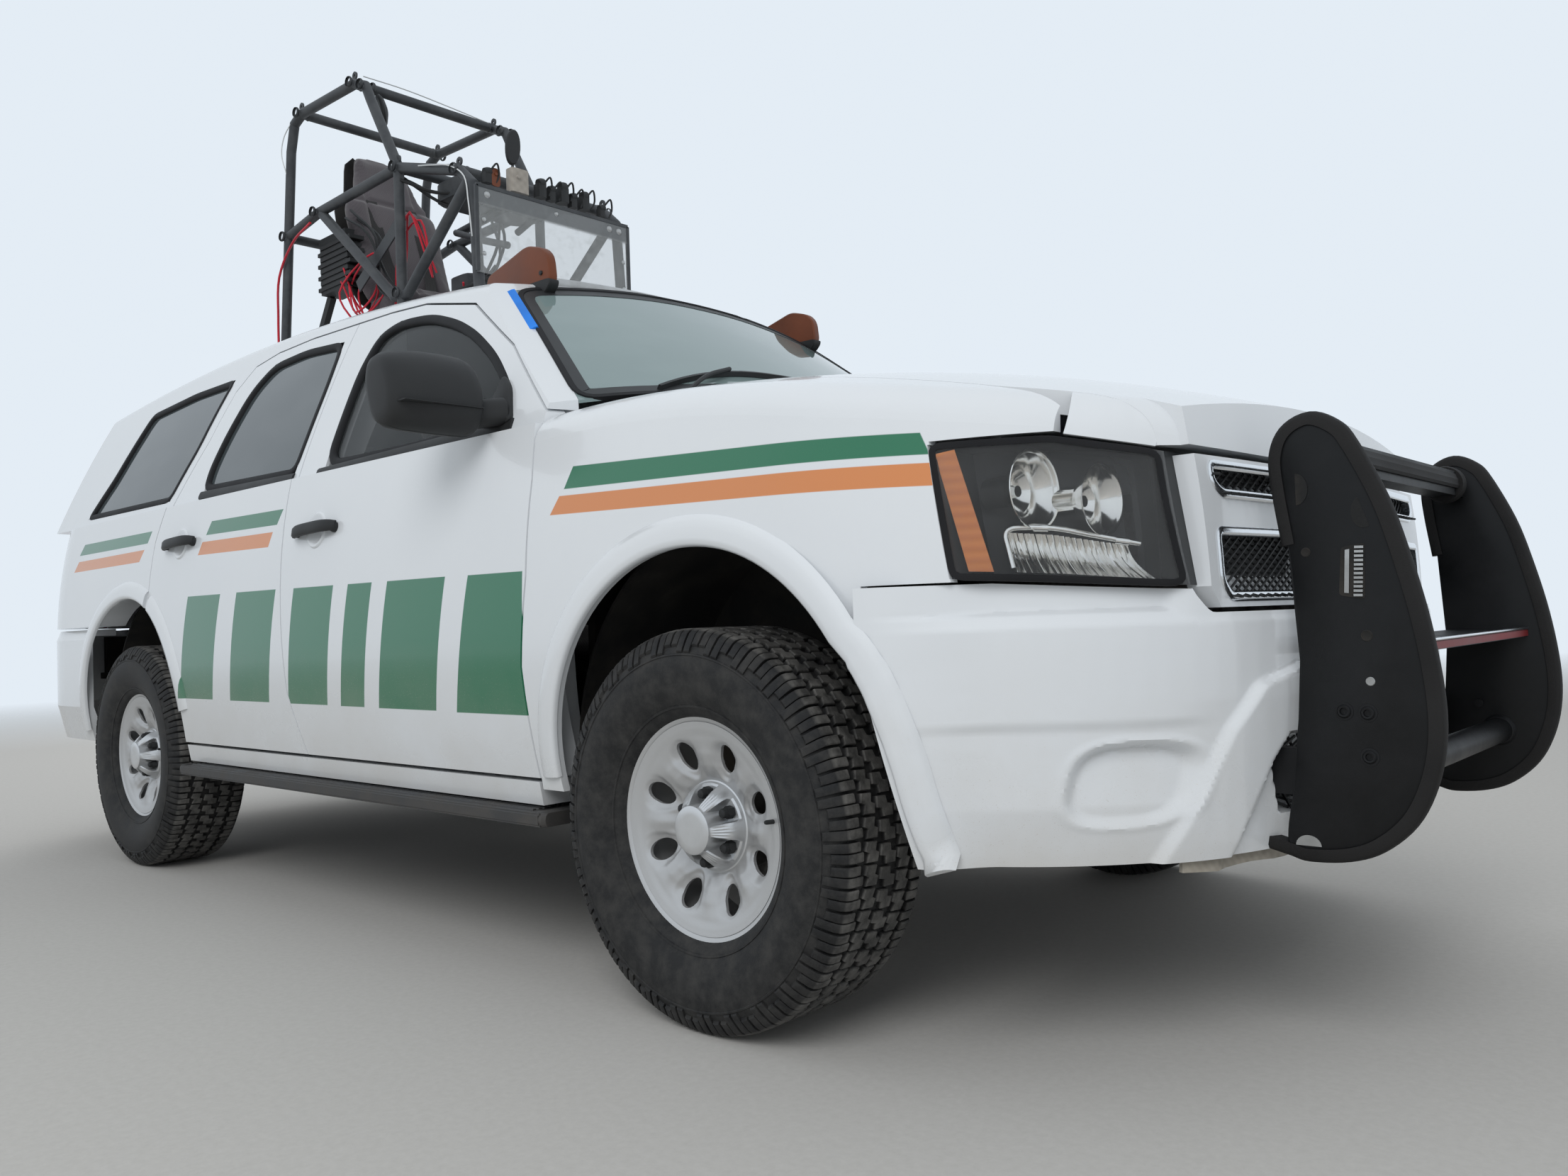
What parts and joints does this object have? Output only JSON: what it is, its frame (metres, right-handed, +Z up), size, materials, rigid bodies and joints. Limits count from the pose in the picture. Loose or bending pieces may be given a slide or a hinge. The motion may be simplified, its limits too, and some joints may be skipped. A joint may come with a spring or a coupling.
{
  "type": "police sport utility vehicle with a roof driving cage",
  "caption": "Full-size police sport utility vehicle with push bumper, opening doors and lids, steering wheels and a tubular driving cage on its roof.",
  "frame": {"origin": "on the ground in the middle of the overall box", "axes": "+X forward, +Y to the vehicle's left, +Z up"},
  "size_m": [5.345, 2.42, 2.937],
  "materials": {
    "body_paint": "gloss",
    "black_plastic": "satin",
    "board_alloy": "satin",
    "black_steel": "satin",
    "clear_lens": "gloss",
    "lamp_chrome": "gloss",
    "red_lens": "gloss",
    "window_glass": "gloss",
    "dark_glass": "gloss",
    "tyre_rubber": "matte",
    "wheel_steel": "satin",
    "cast_metal": "matte",
    "chassis_steel": "matte",
    "seat_cloth": "matte",
    "trim_plastic": "matte",
    "bar_metal": "satin",
    "cage_steel": "satin",
    "clear_panel": "gloss",
    "cage_seat_shell": "satin"
  },
  "bodies": {
    "vehicle": {"body_side_left": "body_paint", "body_side_right": "body_paint", "cage_frame": "cage_steel", "cage_screen": "clear_panel", "cage_seat": "cage_seat_shell", "chassis_frame": "chassis_steel", "cowl": "black_plastic", "dashboard": "trim_plastic", "floor_pan": "chassis_steel", "front_bumper": "body_paint", "front_fenders": "body_paint", "front_suspension": "chassis_steel", "grille": "black_plastic", "headlamp_housings": "lamp_chrome", "headlamp_lenses": "clear_lens", "powertrain": "cast_metal", "push_bumper": "black_steel", "quarter_glass": "dark_glass", "rear_axle": "chassis_steel", "rear_bumper": "body_paint", "roof_bar": "bar_metal", "roof_panel": "body_paint", "running_boards": "board_alloy", "seats": "seat_cloth", "tail_lamps": "red_lens", "underbody": "chassis_steel", "windscreen": "window_glass"},
    "front_door_left": {"front_door_left": "body_paint", "front_door_glass_left": "window_glass", "mirror_left": "black_plastic"},
    "rear_door_left": {"rear_door_left": "body_paint", "rear_door_glass_left": "dark_glass"},
    "knuckle_left": {"knuckle_left": "cast_metal"},
    "front_wheel_left": {"front_rim_left": "wheel_steel", "front_tyre_left": "tyre_rubber"},
    "rear_wheel_left": {"rear_rim_left": "wheel_steel", "rear_tyre_left": "tyre_rubber"},
    "front_door_right": {"front_door_right": "body_paint", "front_door_glass_right": "window_glass", "mirror_right": "black_plastic"},
    "rear_door_right": {"rear_door_right": "body_paint", "rear_door_glass_right": "dark_glass"},
    "knuckle_right": {"knuckle_right": "cast_metal"},
    "front_wheel_right": {"front_rim_right": "wheel_steel", "front_tyre_right": "tyre_rubber"},
    "rear_wheel_right": {"rear_rim_right": "wheel_steel", "rear_tyre_right": "tyre_rubber"},
    "hood": {"hood": "body_paint"},
    "liftgate": {"liftgate": "body_paint", "liftgate_glass": "dark_glass"}
  },
  "joints": [
    {"name": "front_door_left_hinge", "type": "hinge", "parent": "vehicle", "child": "front_door_left", "pos_m": [0.9705, 1, 0.8], "axis": [0, 0, -1], "range_deg": [0, 65]},
    {"name": "rear_door_left_hinge", "type": "hinge", "parent": "vehicle", "child": "rear_door_left", "pos_m": [-0.1325, 1, 0.8], "axis": [0, 0, -1], "range_deg": [0, 65]},
    {"name": "steer_left", "type": "hinge", "parent": "vehicle", "child": "knuckle_left", "pos_m": [1.4675, 0.791, 0.395], "axis": [-0.0597, -0.2075, 0.9764], "range_deg": [-32, 32]},
    {"name": "front_wheel_left_spin", "type": "hinge", "parent": "knuckle_left", "child": "front_wheel_left", "pos_m": [1.4675, 0.866, 0.395], "axis": [0, 1, 0], "continuous": true},
    {"name": "rear_wheel_left_spin", "type": "hinge", "parent": "vehicle", "child": "rear_wheel_left", "pos_m": [-1.4785, 0.851, 0.395], "axis": [0, 1, 0], "continuous": true},
    {"name": "front_door_right_hinge", "type": "hinge", "parent": "vehicle", "child": "front_door_right", "pos_m": [0.9705, -1, 0.8], "axis": [0, 0, 1], "range_deg": [0, 65]},
    {"name": "rear_door_right_hinge", "type": "hinge", "parent": "vehicle", "child": "rear_door_right", "pos_m": [-0.1325, -1, 0.8], "axis": [0, 0, 1], "range_deg": [0, 65]},
    {"name": "steer_right", "type": "hinge", "parent": "vehicle", "child": "knuckle_right", "pos_m": [1.4675, -0.791, 0.395], "axis": [-0.0597, 0.2075, 0.9764], "range_deg": [-32, 32]},
    {"name": "front_wheel_right_spin", "type": "hinge", "parent": "knuckle_right", "child": "front_wheel_right", "pos_m": [1.4675, -0.866, 0.395], "axis": [0, 1, 0], "continuous": true},
    {"name": "rear_wheel_right_spin", "type": "hinge", "parent": "vehicle", "child": "rear_wheel_right", "pos_m": [-1.4785, -0.851, 0.395], "axis": [0, 1, 0], "continuous": true},
    {"name": "hood_hinge", "type": "hinge", "parent": "vehicle", "child": "hood", "pos_m": [1.0175, 0, 1.35], "axis": [0, -1, 0], "range_deg": [0, 50]},
    {"name": "liftgate_hinge", "type": "hinge", "parent": "vehicle", "child": "liftgate", "pos_m": [-2.3825, 0, 1.815], "axis": [0, 1, 0], "range_deg": [0, 85]}
  ],
  "couplings": [
    {"joint": "steer_left", "follows": "steer_right", "ratio": 1}
  ]
}
